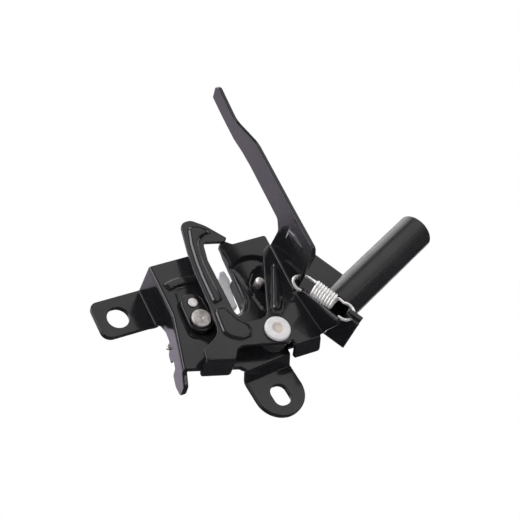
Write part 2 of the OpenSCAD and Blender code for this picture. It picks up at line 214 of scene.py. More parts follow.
def sheet(name, loops, place, t, edge=0.45, step=0.8, grid=1.1, beads=(), bend=None):
    """A sheet with rounded edges. loops are outlines in the flat (outer first), place(u, v, d) puts a
    point of the flat at depth d below the front face, beads are pressed into both faces."""
    loops = [resample(np.asarray(l, float), step) for l in loops]
    loops = [l if (area(l) > 0) == (i == 0) else l[::-1] for i, l in enumerate(loops)]
    prof = [(edge * (1 - math.cos(a)), edge * (1 - math.sin(a))) for a in np.radians([0, 30, 60, 90])]
    prof.append((edge + 0.2, 0.0))
    inner = [inset(l, prof[-1][0]) for l in loops]
    # points of the flat: the innermost ring of each outline, pressed features, a grid
    pts, edges, k = [], [], 0
    for l in inner:
        n = len(l)
        pts.append(l)
        edges += [(k + i, k + (i + 1) % n) for i in range(n)]
        k += n
    ring = np.concatenate(pts)
    feats = [b.feature() for b in beads]
    if bend is not None:
        feats.append(bend)
    if feats:
        f = np.concatenate(feats)
        f = f[inside(f, inner)]
        f = f[np.min([seg_dist(f, l) for l in inner], axis=0) > 0.35]
        kept, cells = [], {}
        for q in f:
            c = (int(q[0] // 0.34), int(q[1] // 0.34))
            if any(abs(cells[m][0] - q[0]) + abs(cells[m][1] - q[1]) < 0.3
                   for m in ((c[0] + i, c[1] + j) for i in (-1, 0, 1) for j in (-1, 0, 1)) if m in cells):
                continue
            cells[c] = q
            kept.append(q)
        f = np.array(kept) if kept else np.zeros((0, 2))
    else:
        f = np.zeros((0, 2))
    lo, hi = loops[0].min(0), loops[0].max(0)
    gx, gy = np.meshgrid(np.arange(lo[0], hi[0], grid), np.arange(lo[1], hi[1], grid * 0.866))
    gx = gx + (np.arange(gx.shape[0]) % 2)[:, None] * grid / 2
    g = np.stack([gx.ravel(), gy.ravel()], 1)
    g = g[inside(g, inner)]
    g = g[np.min([seg_dist(g, l) for l in inner], axis=0) > 0.55 * grid]
    if len(f):
        near = np.zeros(len(g), bool)
        for i in range(0, len(f), 400):
            dd = g[:, None, :] - f[None, i:i + 400, :]
            near |= (np.min(np.sum(dd * dd, 2), 1) < (0.55 * grid) ** 2)
        g = g[~near]
    flat = np.concatenate([ring, f, g])
    vs, _, fs, orig, _, _ = delaunay_2d_cdt([Vector(p) for p in flat], edges, [], 1, 1e-7)
    vs = np.array([(v[0], v[1]) for v in vs])
    index = {}
    for i, o in enumerate(orig):
        for j in o:
            index[j] = i
    tri = np.array([list(x) for x in fs if len(x) == 3])
    cen = vs[tri].mean(1)
    tri = tri[inside(cen, inner)]
    a = vs[tri]
    turn = (a[:, 1, 0] - a[:, 0, 0]) * (a[:, 2, 1] - a[:, 0, 1]) - (a[:, 2, 0] - a[:, 0, 0]) * (a[:, 1, 1] - a[:, 0, 1])
    tri[turn < 0] = tri[turn < 0][:, ::-1]
    tri = tri[np.abs(turn) > 1e-7]
    n = len(vs)
    uv, dep = [vs, vs], [np.zeros(n), np.full(n, t)]
    faces = [tuple(x) for x in tri] + [tuple(int(j) + n for j in x[::-1]) for x in tri]
    base, k = 2 * n, 0
    for l in loops:
        m = len(l)
        fr = [index[k + i] for i in range(m)]
        rows = [[i + n for i in fr]]
        for o, d in prof[-2::-1]:
            uv.append(inset(l, o)); dep.append(np.full(m, t - d))
            rows.append(list(range(base, base + m))); base += m
        for o, d in prof[:-1]:
            uv.append(inset(l, o)); dep.append(np.full(m, d))
            rows.append(list(range(base, base + m))); base += m
        rows.append(fr)
        for p, q in zip(rows[:-1], rows[1:]):
            for i in range(m):
                j = (i + 1) % m
                faces.append((p[i], p[j], q[j], q[i]))
        k += m
    uv, dep = np.concatenate(uv), np.concatenate(dep)
    h = np.zeros(len(uv))
    for b in beads:
        h = h + b.height(uv)
    return new_object(name, place(uv[:, 0], uv[:, 1], dep - h), faces)


def bend_len(sg):
    """Length of a bend in the flat."""
    return abs(math.radians(sg[1])) * (max(sg[2] - T / 2, sg[2] / 2) if sg[1] > 0 else sg[2] + T / 2)


def chain(segs, s, d):
    """Fold of a sheet along s: (a, b) is the distance gone straight on and to the back, for a point d
    below the front. segs are ("line", length) or ("arc", angle in degrees, radius of the front face),
    where a positive angle turns to the back and a negative one to the front."""
    s, s0 = s.copy(), 0.0
    for sg in segs:                          # behind a tight bend the two inner faces meet in a mitre
        if sg[0] == "line":
            s0 += sg[1]
            continue
        ln = bend_len(sg)
        if sg[1] > 0:
            e = np.maximum(d - sg[2], 0) * math.tan(math.radians(sg[1]) / 2)
            s = np.where(e > 0, np.where(s < s0 + ln / 2, np.minimum(s, s0 - e), np.maximum(s, s0 + ln + e)), s)
        s0 += ln
    a, b = s.copy(), d.copy()
    pa, pb, th, s0 = 0.0, 0.0, 0.0, 0.0      # front face, heading, start of the segment
    for sg in segs:
        ca, sa = math.cos(th), math.sin(th)
        m = s >= s0 - 1e-9
        if sg[0] == "line":
            x = s[m] - s0
            a[m] = pa + ca * x - sa * d[m]
            b[m] = pb + sa * x + ca * d[m]
            pa, pb, s0 = pa + ca * sg[1], pb + sa * sg[1], s0 + sg[1]
            continue
        w, ln, rf = math.radians(sg[1]), bend_len(sg), sg[2]
        ang = th + w * np.clip((s[m] - s0) / ln, 0, None)
        if w > 0:                            # front is outside
            cx, cy = pa - sa * rf, pb + ca * rf
            a[m] = cx + (rf - d[m]) * np.sin(ang)
            b[m] = cy - (rf - d[m]) * np.cos(ang)
            pa, pb = cx + rf * math.sin(th + w), cy - rf * math.cos(th + w)
        else:                                # front is inside
            cx, cy = pa + sa * rf, pb - ca * rf
            a[m] = cx - (rf + d[m]) * np.sin(ang)
            b[m] = cy + (rf + d[m]) * np.cos(ang)
            pa, pb = cx - rf * math.sin(th + w), cy + rf * math.cos(th + w)
        th += w
        s0 += ln
    return a, b


def lathe(name, prof, c=(0, 0), seg=72, place=None, closed=False):
    """A turned piece about an axis along Y through c; prof is (r, y) from front to back."""
    prof = np.array(prof, float)
    m = len(prof)
    ang = np.arange(seg) * 2 * math.pi / seg
    v = np.zeros((m, seg, 3))
    v[:, :, 0] = c[0] + prof[:, 0][:, None] * np.cos(ang)
    v[:, :, 2] = c[1] + prof[:, 0][:, None] * np.sin(ang)
    v[:, :, 1] = prof[:, 1][:, None]
    v = v.reshape(-1, 3)
    faces = []
    for i in range(m if closed else m - 1):
        j = (i + 1) % m
        for k in range(seg):
            l = (k + 1) % seg
            faces.append((i * seg + k, j * seg + k, j * seg + l, i * seg + l))
    if not closed:
        faces.append(tuple(range(seg)))
        faces.append(tuple(range((m - 1) * seg, m * seg))[::-1])
    if place is not None:
        v = place(v)
    return new_object(name, v, faces)


def turned(pts, deg=15.0):
    """Profile of a turned piece with rounded corners (r, y, radius), open at both ends."""
    p = [(x[0], x[1], x[2] if len(x) > 2 else 0) for x in pts]
    q = rounded([(p[0][0] - 40, p[0][1], 0)] + p + [(p[-1][0] - 40, p[-1][1], 0)], deg)
    return [x for x in q if x[0] > -20]


def tube(name, path, r, n=14, cap=True):
    """A round wire along a path with softly rounded ends."""
    path = np.asarray(path, float)
    tg = np.gradient(path, axis=0)
    tg /= np.linalg.norm(tg, axis=1)[:, None]
    side = np.array([0, 0, 1.0]) if abs(tg[0][2]) < 0.8 else np.array([1.0, 0, 0])
    rings, m = [], len(path)
    for i in range(m):
        side = side - (side @ tg[i]) * tg[i]
        side /= np.linalg.norm(side)
        up = np.cross(tg[i], side)
        rings.append((path[i], side.copy(), up, tg[i]))
    rows = []
    p, s, u, t = rings[0]
    rows += [(p - t * r * 0.30, s, u, r * 0.45), (p - t * r * 0.18, s, u, r * 0.8)]
    rows += [(p, s, u, r) for p, s, u, t in rings]
    p, s, u, t = rings[-1]
    rows += [(p + t * r * 0.18, s, u, r * 0.8), (p + t * r * 0.30, s, u, r * 0.45)]
    a = np.arange(n) * 2 * math.pi / n
    v = np.concatenate([p + rr * (np.cos(a)[:, None] * s + np.sin(a)[:, None] * u) for p, s, u, rr in rows])
    faces = []
    for i in range(len(rows) - 1):
        for k in range(n):
            l = (k + 1) % n
            faces.append((i * n + k, i * n + l, (i + 1) * n + l, (i + 1) * n + k))
    faces.append(tuple(range(n))[::-1])
    faces.append(tuple((len(rows) - 1) * n + k for k in range(n)))
    return new_object(name, v, faces)


def curve(p, n=4):
    p = np.array(p, float)
    out = []
    for i in range(len(p) - 1):
        a, b, c, d = p[max(i - 1, 0)], p[i], p[i + 1], p[min(i + 2, len(p) - 1)]
        for k in range(n):
            t = k / n
            out.append(0.5 * (2 * b + (c - a) * t + (2 * a - 5 * b + 4 * c - d) * t * t + (3 * b - a - 3 * c + d) * t ** 3))
    return np.array(out + [p[-1]])


def wing(o, w):
    return (0.8660254 * o + 0.5 * w, 0.5 * o - 0.8660254 * w)


def lines(c0, c1, k, step=0.9):
    """Rows of points between two polylines, k rows, for a bend."""
    c0, c1 = np.array(c0, float), np.array(c1, float)
    n = max(2, int(np.linalg.norm(c0[-1] - c0[0]) / step))
    t = np.linspace(0, 1, n)[:, None]
    a = c0[0] + (c0[-1] - c0[0]) * t
    b = c1[0] + (c1[-1] - c1[0]) * t
    return np.concatenate([a + (b - a) * i / (k - 1) for i in range(k)])


# ---------------------------------------------------------------- base plate
R1, R2 = 1.0, 0.45                   # front radii of the fold and of the ear's bend
FOLD = [("arc", 90, R1), ("line", 19.5 - R1 - R2), ("arc", -90, R2), ("line", 60)]
L1, L2 = bend_len(FOLD[0]), bend_len(FOLD[2])
FX0 = -36.7 + R1
EAR0 = FX0 - (L1 + 19.5 - R1 - R2 + L2) + R1 + R2 - FX0      # flat minus true X, on the ear
J1, J2, JA = 1.0, 0.5, 65.0
JOG = math.radians(JA)
JOG_S = (6.0 - (J1 + J2) * (1 - math.cos(JOG))) / math.sin(JOG)
JOGGLE = [("arc", JA, J1), ("line", JOG_S), ("arc", -JA, J2), ("line", 60)]
JOG_DEV = bend_len(JOGGLE[0]) + JOG_S + bend_len(JOGGLE[2])
TAB_SHIFT = JOG_DEV - ((J1 + J2) * math.sin(JOG) + JOG_S * math.cos(JOG))
TAB0 = 0.4
TC, TS = math.cos(math.radians(5.5)), math.sin(math.radians(5.5))


def fold_x(v):
    q = 23.8 - v
    return FX0 - 0.262 * 0.5 * (q + np.sqrt(q * q + 1.0))


def tab_uv(lx, lz):
    return (-6.5 + lx * TC - lz * TS, -9.5 + lx * TS + lz * TC)


def base_place(u, v, d):
    x, y, z = u.copy(), YF + d, v.copy()
    xf = fold_x(v)
    s = xf - u
    m = s > -4
    a, b = chain(FOLD, s[m], d[m])
    x[m], y[m] = xf[m] - a, YF + b
    lz = -(u + 6.5) * TS + (v + 9.5) * TC
    m = (lz < TAB0 + 2.5) & (u > -22) & (v < -4)
    lx = (u + 6.5) * TC + (v + 9.5) * TS
    m &= np.abs(lx) < 12.3
    a, b = chain(JOGGLE, TAB0 - lz[m], d[m])
    dz = (TAB0 - a) - lz[m]
    x[m] -= dz * TS
    z[m] += dz * TC
    y[m] = YF + b
    return np.stack([x, y, z], 1)


def fl(y, z, r=0.0):
    """Point of the left flange in the flat."""
    return (float(fold_x(np.array([z]))[0]) - (L1 + y + 22.0 - R1), z, r)


def arc(c, r, a0, a1, n):
    return [(c[0] + r * math.cos(math.radians(a0 + (a1 - a0) * i / n)),
             c[1] + r * math.sin(math.radians(a0 + (a1 - a0) * i / n))) for i in range(n + 1)]


def w3(o, w, r=0.0):
    return wing(o, w) + (r,)


tab_end = [tab_uv(*p) for p in arc((.4, -12.0 - TAB_SHIFT), 11.4, 0, -180, 40)]
base_outline = rounded(
    [(EAR0 - 61, 48.5, 3.5), (-16, 48.5, 2.0)] + arc((-9.5, 22.5), 6.5, 180, 360, 30) +
    [(-2.0, 50.4, 2.5), (1.9, 50.6, 1.5), (4.4, 48.5, 1.8), (21, 48.5, 1.2), (21, 38, 2.0), (36, 38, 3.0),
     w3(50.2, 20, 2), w3(37, 20.3, 2), w3(33.5, 22.5, 2), w3(21.2, 26), w3(21.2, 9.7),
     (17, -2, 1.0), (14.5, -6, 2.0), (5, -6, 1.5), tab_uv(11.6, 1.0) + (1.0,)] + tab_end +
    [tab_uv(-11, 0.6) + (1.2,), (-19.2, -8.1, 0.5),
     (float(fold_x(np.array([-1.8]))[0]), -1.8, 0), fl(-19.5, -2.6),
     fl(-17.6, -8.1, 2), fl(-11.5, -8.9, 3), fl(-7.5, -2.3, 4), fl(-7.2, 3.5, 1.5), fl(-11.3, 4.4, 1),
     fl(-11.5, 7.8, 1), fl(-7.2, 8.8, 1), fl(-6.5, 13.1, 2), fl(-11, 16.5, 3), fl(-8.7, 22.3, 2),
     fl(-6, 27, 3), fl(-3.5, 29.3, 0.8), (EAR0 - 39.65, 30, 0.8), (EAR0 - 61, 30, 4.5)])
ear_hole = circle((EAR0 - 51, 38.5), 4.9, 72)
tab_slot = np.array([tab_uv(*p) for p in rounded([(-3.7, -8.6 - TAB_SHIFT, 3.4), (3.9, -8.6 - TAB_SHIFT, 3.4),
                                                  (3.9, -18.4 - TAB_SHIFT, 3.4), (-3.7, -18.4 - TAB_SHIFT, 3.4)])])
slot_edge = np.array([(-3, 46.0)] + arc((-9.5, 22.5), 6.5, 0, -180, 40) + [(-16, 30)])


class Lip:
    """The edge of the striker slot is turned to the back."""

    def height(self, p):
        return -1.0 * smooth(1 - seg_dist(p, slot_edge, False) / 2.1) * smooth((47 - p[:, 1]) / 3)

    def feature(self):
        out = []
        for o in (0.9, 1.3, 1.7, 2.1, 2.5):
            out += [(-3 + o, z) for z in np.arange(22.5, 46, 0.8)]
            out += arc((-9.5, 22.5), 6.5 + o, 0, -180, 34)
            out += [(-16 - o, z) for z in np.arange(22.5, 30, 0.8)]
        return np.array(out)


base_beads = [
    # arc bead above the claw pivot, and the shallow recess below it
    Bead(arc((-27, 17), 22.3, 60, 108, 14) + arc((-27, 17), 18.8, 108, 60, 14), 1.0, 1.2),
    Bead([(-30.8, 33.6, 1.5), (-27, 34.6, 4), (-18.9, 33.0, 2), (-18.9, 10, 3), (-27, 7.6, 5), (-33.6, 12, 5),
          (-33.0, 21.7, 8), (-31.8, 28.2, 5)], -0.5, 2.8),
    # small stamped mark
    Crease([(-33.4, 12.9), (-32.9, 11.5), (-31.9, 10.9)], -0.3, 1.0),
    # dish round the pawl pivot
    Bead(arc((6.7, 26.7), 13.6, 34, 128, 22) + [(-0.2, 33), (1.4, 24), (2.8, 15), (6, 12), (17, 12)], -1.3, 2.2),
    Bead([(3.6, 28.6, 2), (8, 33.6, 4), (17, 34, 2), (17, 14.6, 2), (4.2, 14.6, 2), (2.7, 20, 3)], -0.5, 0.8),
    Lip(),
]
fx = lambda z: float(fold_x(np.array([z]))[0])
base_bend = np.concatenate([
    np.array([(fx(z) + o, z) for z in np.arange(-6, 48.4, 0.8)
              for o in (1.7, 0.6, 0.0, -L1 / 3, -2 * L1 / 3, -L1, -L1 - 0.6, -L1 - 1.7)]),
    lines([(EAR0 - 36.85 + L2, 28.5), (EAR0 - 36.85 + L2, 48.3)], [(EAR0 - 36.85, 28.5), (EAR0 - 36.85, 48.3)], 7),
    np.array([tab_uv(lx, TAB0 - q) for lx in np.arange(-10.6, 10.7, 0.8)
              for q in (-1.2, -.4, 0, .28, .56, bend_len(JOGGLE[0]), 1.3, 3.0, JOG_DEV - bend_len(JOGGLE[2]), JOG_DEV - 1.5,
                        JOG_DEV - 1.0, JOG_DEV - .5, JOG_DEV, JOG_DEV + .6)]),
])
base = sheet("base_sheet", [base_outline, ear_hole, tab_slot, circle((0, 0), 3.52, 40), circle((-27, 17), 4.02, 40),
                            circle((-27, 25.2), 1.62, 24), circle((6.7, 26.7), 1.72, 24)],
             base_place, T, edge=0.5, grid=1.0, beads=base_beads, bend=base_bend)

# forward-bent spring flange, with its slotted end
SPR = [("arc", -90, 1.0), ("line", 60)]
LS = bend_len(SPR[0])


def spring_place(u, v, d):
    """u is the distance over the bend from o = 21.5, v is w."""
    a, b = chain(SPR, u, d)
    o = 21.5 - a
    x, z = wing(o, v)
    return np.stack([x, YF + b, z], 1)


def sf(y, w, r=0.0):
    return (LS + (YF - 1.0 - y), w, r)


spring_outline = rounded([(0.35, 26.2, 0.4), sf(-40.7, 26.4, .5), sf(-40.7, 21, 1), sf(-43.1, 21, 1), sf(-43.1, 26.4, .5),
                          sf(-45.5, 26.4, .6), sf(-45.5, 19.2, 1), sf(-38, 19.2, 3), sf(-30, 12, 3), sf(-24.6, 9.8, 2),
                          (0.35, 9.8, 0.4)])
flange = sheet("spring_flange", [spring_outline], spring_place, T - 0.04, edge=0.4, grid=1.1,
               bend=lines([(0, 9.8), (0, 26)], [(LS, 9.8), (LS, 26)], 9))

# guide wall round the lower end of the slot
wall_line = np.array([(-2.3, 33.5)] + arc((-9.5, 22.5), 6.5, 0, -180, 40))
wn = np.gradient(wall_line, axis=0)
wn = np.stack([wn[:, 1], -wn[:, 0]], 1) / np.linalg.norm(wn, axis=1)[:, None]
wl = np.concatenate([[0], np.cumsum(np.linalg.norm(np.diff(wall_line, axis=0), axis=1))])


def wall_place(u, v, d):
    """u runs along the wall, v is depth, d is thickness outwards."""
    p = [np.interp(u, wl, wall_line[:, i]) for i in (0, 1)]
    n = [np.interp(u, wl, wn[:, i]) for i in (0, 1)]
    return np.stack([p[0] - n[0] * d, v, p[1] - n[1] * d], 1)


wall = sheet("slot_wall", [rounded([(0.05, -21.0, 0.3), (0.05, -13.6, 1.5), (wl[-1], -13.6, 1.5), (wl[-1], -21.0, 0.3)])],
             wall_place, 2.0, edge=0.5, grid=0.9)

# ---------------------------------------------------------------- safety hook
HT = 2.0                              # the hook's sheet
LEVER = [("arc", -90, 0.7), ("line", 200)]
FOOT = [("arc", 77, 0.9), ("line", 60)]
FOOT_R = [("arc", 65, 0.9), ("line", 60)]
LH, LF, LFR = bend_len(LEVER[0]), bend_len(FOOT[0]), bend_len(FOOT_R[0])
LIP = [("arc", 46, 1.6), ("line", 40)]
P0, P1 = np.array([-35.3, -3.6]), np.array([-22.9, -6.9])
FE = (P1 - P0) / np.linalg.norm(P1 - P0)
FN = np.array([FE[1], -FE[0]])
FD, FDR = LF + 9.4, LFR + 7.0
RF = -8.3                             # bend of the right foot
GE, GN = np.array([-0.4125, -0.911]), np.array([-0.911, 0.4125])      # gusset's free edge and its normal, in (Y, Z)
GQ = np.array([-34.6, 13.2]) - GN * 0.9


def lever_u(v):
    """Start of the lever's bend; below the spring's notch the gusset leans out."""
    return 15.5 + 0.125 * np.clip(14.2 - v, 0, None)


def hook_place(u, v, d):
    x, y, z = u.copy(), HF + d, v.copy()
    foot = (v < RF + 2.5) & (u > 0) & (u < 17.6)
    b0 = lever_u(v)
    m = (u > b0) & ~((v < RF) & (u < 17.6))
    a, b = chain(LEVER, (u - b0)[m], d[m])
    x[m], y[m] = b0[m] + a, HF + b
    # the gusset's free edge is turned outwards
    g = m & (v < 13.6) & (v > -12) & (u > 24)
    s = (y - GQ[0]) * GN[0] + (z - GQ[1]) * GN[1]
    g &= s > 0
    a, b = chain(LIP, s[g], d[g])
    y[g] += (a - s[g]) * GN[0]
    z[g] += (a - s[g]) * GN[1]
    x[g] += b - d[g]
    f = foot & ~m
    a, b = chain(FOOT_R, RF - v[f], d[f])
    z[f], y[f] = RF - a, HF + b
    s = (u - P0[0]) * FN[0] + (v - P0[1]) * FN[1]
    m = (s > -2.5) & (u < -19) & (v < 0)
    a, b = chain(FOOT, s[m], d[m])
    s = s[m]
    x[m] += (a - s) * FN[0]
    z[m] += (a - s) * FN[1]
    y[m] = HF + b
    return np.stack([x, y, z], 1)


def lv(y, z, r=0.0):
    """Point of the lever in the flat."""
    return (float(lever_u(np.array([z]))[0]) + LH + (HF - 0.7 - y), z, r)


q0, q1 = P0 + FN * FD - FE * 1.2, P1 + FN * FD - FE * 0.6
hook_outline = rounded([
    (-17.9, 60.7, 3.2), (-12.8, 60.9, 4), (-7.6, 56.6, 12), (-0.9, 48.1, .9), (-2.6, 46.4, .7), (-12.2, 48.7, 1.6), (-14, 40, 6),
    (-14, 14, 5), (-12, 8, 4), (-1, 7, 4), (9.9, 33, 5), (12.4, 37.6, 3), (15, 39.2, 0), lv(-31.5, 39.2), lv(-41.9, 39.2, 3),
    lv(-45.9, 42.6, 2.5), lv(-46.2, 55), lv(-46.6, 70, 9), lv(-46.2, 78, 9), lv(-45, 86, 10), lv(-45.4, 98),
    lv(-46.2, 108.6, 1), lv(-52.4, 109.6, 1.5), lv(-54.4, 107.4, 1.5), lv(-52.9, 90.5, 14), lv(-59.7, 73, 14), lv(-59.7, 38),
    lv(-60, 17.6, 2.5), lv(-56.5, 15.5, 2), lv(-31.5, 15.2), (15.0, 15.2, 0.8), (15.0, 13.5, 0.8), lv(-34.6, 13.5, 1),
    lv(-45.6, -10, 1.4), lv(-43.2, -11.4, 1.0), lv(-31.5, -7.6), (18.6, -7.2, .6), (17.4, RF + .3, .5), (17.5, -10.6, 1.2),
    (17.5, RF - FDR, 1.6), (4.6, RF - FDR, 1.0), (5.0, -8.6, 0), (4.6, -6, .8), (2.6, -7, .6), (-19.5, -1.9, 4),
    (P1[0], P1[1], 0), (q1[0], q1[1], 1.6), (q0[0], q0[1], 1.2), (P0[0], P0[1], 0),
    (-34.7, 1.0, 2.5), (-25, 6, 7), (-23.3, 16, 6), (-22.3, 38, 12), (-20.5, 48, 8)])
hook_beads = [
    # raised web in the head, which runs down the arm
    Bead([(-15.4, 57.2, 1.2), (-12, 56.6, 3), (-9.5, 54.9, 1), (-7.2, 52.6, .8), (-10.4, 52.2, 1), (-12.9, 51.2, 2),
          (-14.9, 49.3, 3), (-16.2, 44.2, 8), (-17.0, 38.2, 10), (-17.1, 32, 5), (-17.1, 20.4, 1.2), (-20.7, 19.4, 1.2),
          (-20.2, 33, 8), (-19.4, 40.8, 8), (-17.9, 49.4, 6)], 1.0, 1.5),
    # tongue that follows the corner
    Bead([(-21.8, 16.6, 1.5), (-17.6, 16.4, 2), (-16.4, 12.6, 4), (-14.4, 8.8, 5), (-11.4, 6.0, 3.5), (-11.2, 2.6, 3),
          (-13.0, .4, 2.5), (-16.6, .2, 3), (-20.6, 2.4, 3), (-22.9, 5.2, 3), (-22.5, 11.3, 5)], 0.9, 1.5),
    # narrow rib of the middle arm
    Bead([(13.6, 29.8, .6), (12.4, 28.6, 2), (7.9, 19.2, 8), (3.6, 10.6, 1.6), (3.8, 8.4, 1.2), (6.2, 8.6, 1.6), (9.2, 14, 6),
          (13.7, 26.6, 4)], 1.0, 1.4),
    # dart of the lever
    Bead([lv(-42.8, 32.6, 1), lv(-51.2, 33, 1.2), lv(-52.8, 29, 2), lv(-53.2, 20, 3), lv(-45, 18, 6)], 0.9, 1.3,
         fade=lambda p: smooth((p[:, 1] - 19) / 10) * smooth((p[:, 0] - 29.5) / 7)),
]
zs = np.arange(-7.4, 39, 0.8)
hook_bend = np.concatenate([
    np.array([(float(lever_u(np.array([z]))[0]) + o, z) for z in zs for o in (-1, -.3, 0, LH / 4, LH / 2, 3 * LH / 4, LH, LH + .3, LH + 1)]),
    np.array([(x, RF + o) for x in np.arange(5.2, 17.4, .8) for o in (1.4, .5, 0, -LFR / 3, -2 * LFR / 3, -LFR, -LFR - .5, -LFR - 1.4)]),
    np.array([P0 + FE * k + FN * o for k in np.arange(.3, 12.6, .8) for o in (-1.4, -.5, 0, LF / 3, 2 * LF / 3, LF, LF + .5, LF + 1.4)]),
])
wire_hole = lv(-37.9, 17.6)[:2]
hook = sheet("safety_hook_sheet", [hook_outline, circle((0, 0), 3.55, 40), circle(wire_hole, 1.1, 20)], hook_place, HT, edge=0.5,
             grid=1.0, beads=hook_beads, bend=hook_bend)

# ---------------------------------------------------------------- plates behind the panel
teardrop = rounded([(-32.8, 11.2, 5.7), (-21.2, 11.2, 5.7), (-22.1, 30.1, 4.85), (-31.9, 30.1, 4.85)])
flat_at = lambda y0: (lambda u, v, d: np.stack([u, y0 + d, v], 1))
pivot_plate = sheet("pivot_plate_pressed", [teardrop, circle((-27, 17), 4.02, 48), circle((-27, 25.2), 1.62, 28)],
                    flat_at(YF - 2.5), 2.95, edge=0.7, grid=0.9)


def pol(r, a):
    return (-27 + r * math.cos(math.radians(a)), 17 + r * math.sin(math.radians(a)))


# claw: outline, mouth and rim of the CAD piece with rounded edges
claw_outline = rounded(
    [pol(8, -80) + (1.5,)] + [pol(25.4, a) for a in range(-36, 5, 2)] +
    [pol(25.4, 5) + (.3,), pol(22.4, 5) + (.4,), pol(22.4, 14.5) + (.4,), pol(25.4, 14.5) + (.3,),
     (-2.2, 27, 0), (.2, 36.5, 4), (-.2, 41.6, 1.0), (-2.6, 41.8, 1.2), (-6.4, 36.6, 5)] + arc((-15, 30.5), 5, -35, -215, 15) +
    [(-14.3, 40.3, .8), (-17, 42.4, 2)] + [pol(26 - .12 * (a - 72), a) for a in range(72, 103, 3)] +
    [pol(8, 150) + (1.5,)] + [pol(8, a) for a in range(158, 274, 8)])
claw = sheet("claw_plate", [claw_outline, circle((-27, 17), 4.06, 48)], flat_at(-12.5), 4.0, edge=0.6, grid=1.2)
pawl_outline = rounded(arc((6.7, 26.7), 5.6, 3, 167, 24) +
                       [(.6, 18, 4), (-2.6, 9, 1), (-2.6, 4, .8), (1, 4, .8), (8, 17, 6)])
pawl = sheet("pawl_plate", [pawl_outline, circle((6.7, 26.7), 1.76, 28)], flat_at(-17.4), 3.0, edge=0.5, grid=1.2)
tooth = sheet("pawl_tooth", [rounded([(-2.6, 8, .6), (-2.6, 4, .8), (.4, 4, .8), (.4, 8, .6)])], flat_at(-14.9), 6.4,
              edge=0.5, grid=0.8)

# ---------------------------------------------------------------- turned pieces
YR = YF + T
hook_rivet = lathe("hook_rivet_turned", turned([(.2, HF - 1.45), (1.9, HF - 1.45, .5), (2.6, HF - 1.9, .25), (5.7, HF - 1.9, .7),
                                                (5.7, HF - .1, .35), (3.5, HF - .1), (3.5, YR), (6, YR), (6, YR + 1.6, .6),
                                                (.2, YR + 1.6)]), (0, 0), 96)
claw_rivet = lathe("claw_rivet_turned", turned([(.15, YF - 3.72), (.5, YF - 3.75, .2), (.8, YF - 4.0, .3), (4.25, YF - 4.0, .55),
                                                (4.25, YF - 2.5), (4.0, YF - 2.5), (4.0, -2.6), (7.5, -2.6, .3), (7.5, -1, .5),
                                                (.2, -1)]), (-27, 17), 80)
loc_rivet = lathe("locating_rivet_turned", turned([(.1, YF - 3.4), (1.2, YF - 3.4, 1.0), (2.1, YF - 3.3, .3), (2.1, YF - 2.5),
                                                   (1.6, YF - 2.5), (1.6, YR), (2.2, YR), (2.2, YR + .8, .4), (.2, YR + .8)]),
                  (-27, 25.2), 48)
pawl_rivet = lathe("pawl_rivet_turned", turned([(.1, YF - 3.1), (.9, YF - 3.1, 1.0), (1.9, YF - 2.3, .9), (1.9, YF + 1.7),
                                                (1.7, YF + 1.7), (1.7, YR), (2.6, YR), (2.6, -17.8, .2), (1.7, -17.8),
                                                (1.7, -14), (3, -14), (3, -13.1, .4), (.2, -13.1)]), (6.7, 26.7), 48)


def ring(r0, r1, y0, y1, e=.35):
    return rounded([(r1, y0, e), (r1, y1, e), (r0, y1, e * .6), (r0, y0, e * .6)], 22)


claw_bush = lathe("claw_bush_turned", ring(4.02, 5.6, YR, -12.9), (-27, 17), 64, closed=True)
hook_bush = lathe("hook_bush_turned", ring(3.52, 6.5, -27.9, YF), (0, 0), 72, closed=True)

# ---------------------------------------------------------------- cable tube and its welds
TA = math.radians(24)
AX = np.array([math.cos(TA), 0, math.sin(TA)])
TE1, TE2 = np.array([math.sin(TA), 0, -math.cos(TA)]), np.array([0, -1.0, 0])
TB = np.array([30.23, YF - 8.25 + .3, 1.87])
tube_at = lambda v: TB + v[:, 1][:, None] * AX + v[:, 0][:, None] * TE1 + v[:, 2][:, None] * TE2
tp = list(rounded([(8.25, 0, .55), (8.25, 60.5, .55), (6.75, 60.5, .4), (6.75, 0, .4)], 18))
tp = np.array(tp)
more = [(8.25, y) for y in np.linspace(1.2, 59.3, 12)]
cut = int(np.argmax((tp[:, 1] > 30) & (tp[:, 0] > 8)))
tp = np.concatenate([tp[:cut], more, tp[cut:]])
cable_tube = lathe("cable_tube_drawn", tp, seg=96, place=tube_at, closed=True)


def weld(name, side, s0, s1):
    """A rippled fillet between the tube and the wing."""
    n = int((s1 - s0) / 0.22)
    a = np.linspace(-math.pi, math.pi, 13)[:-1]
    v, faces = [], []
    for i in range(n + 1):
        s = s0 + (s1 - s0) * i / n
        end = min(1, (i + .6) / 4, (n - i + .6) / 4)
        r = (1.15 + .13 * math.sin(i * 1.15) + .05 * math.sin(i * .37 + side)) * math.sqrt(end)
        c = TB + AX * s + TE1 * side * (3.5 + .08 * math.sin(i * .21)) + TE2 * -7.55
        for x in a:
            v.append(c + r * (math.cos(x) * TE1 * 1.15 + math.sin(x) * TE2 * .75) + AX * .25 * math.cos(x * 2))
    m = len(a)
    for i in range(n):
        for k in range(m):
            l = (k + 1) % m
            faces.append((i * m + k, i * m + l, (i + 1) * m + l, (i + 1) * m + k))
    faces.append(tuple(range(m))[::-1])
    faces.append(tuple(n * m + k for k in range(m)))
    return new_object(name, v, faces)


weld_a = weld("weld_lower", 1, 2.0, 17.0)
weld_b = weld("weld_upper", -1, 2.0, 20.0)

